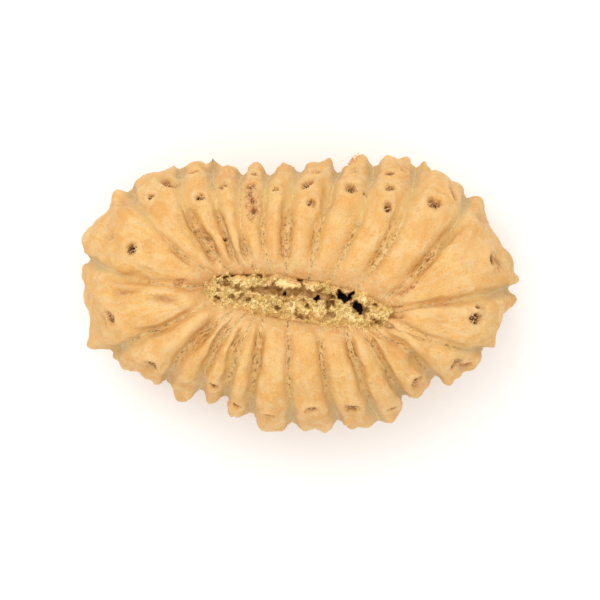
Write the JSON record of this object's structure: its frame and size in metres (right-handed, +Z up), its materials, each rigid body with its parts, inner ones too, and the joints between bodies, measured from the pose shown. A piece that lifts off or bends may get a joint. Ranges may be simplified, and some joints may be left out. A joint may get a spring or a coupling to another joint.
{
  "type": "rudraksha seed",
  "caption": "Long oval ribbed rudraksha seed with nodules and pits on its ribs, lying on one end, with crumbly dried fruit pulp in the slit at the upper end.",
  "frame": {"origin": "on the surface that the seed rests on, under the middle of its outline", "axes": "+X along the longest way, +Z up through the two slits, +Y across, with the upper slit's long way near X"},
  "size_m": [0.0368, 0.024, 0.0192],
  "materials": {
    "stone": "matte bone-like tan",
    "dried_pulp": "crumbly matte olive yellow"
  },
  "bodies": {
    "root": {"stone": "stone", "dried_pulp": "dried_pulp"}
  },
  "joints": []
}
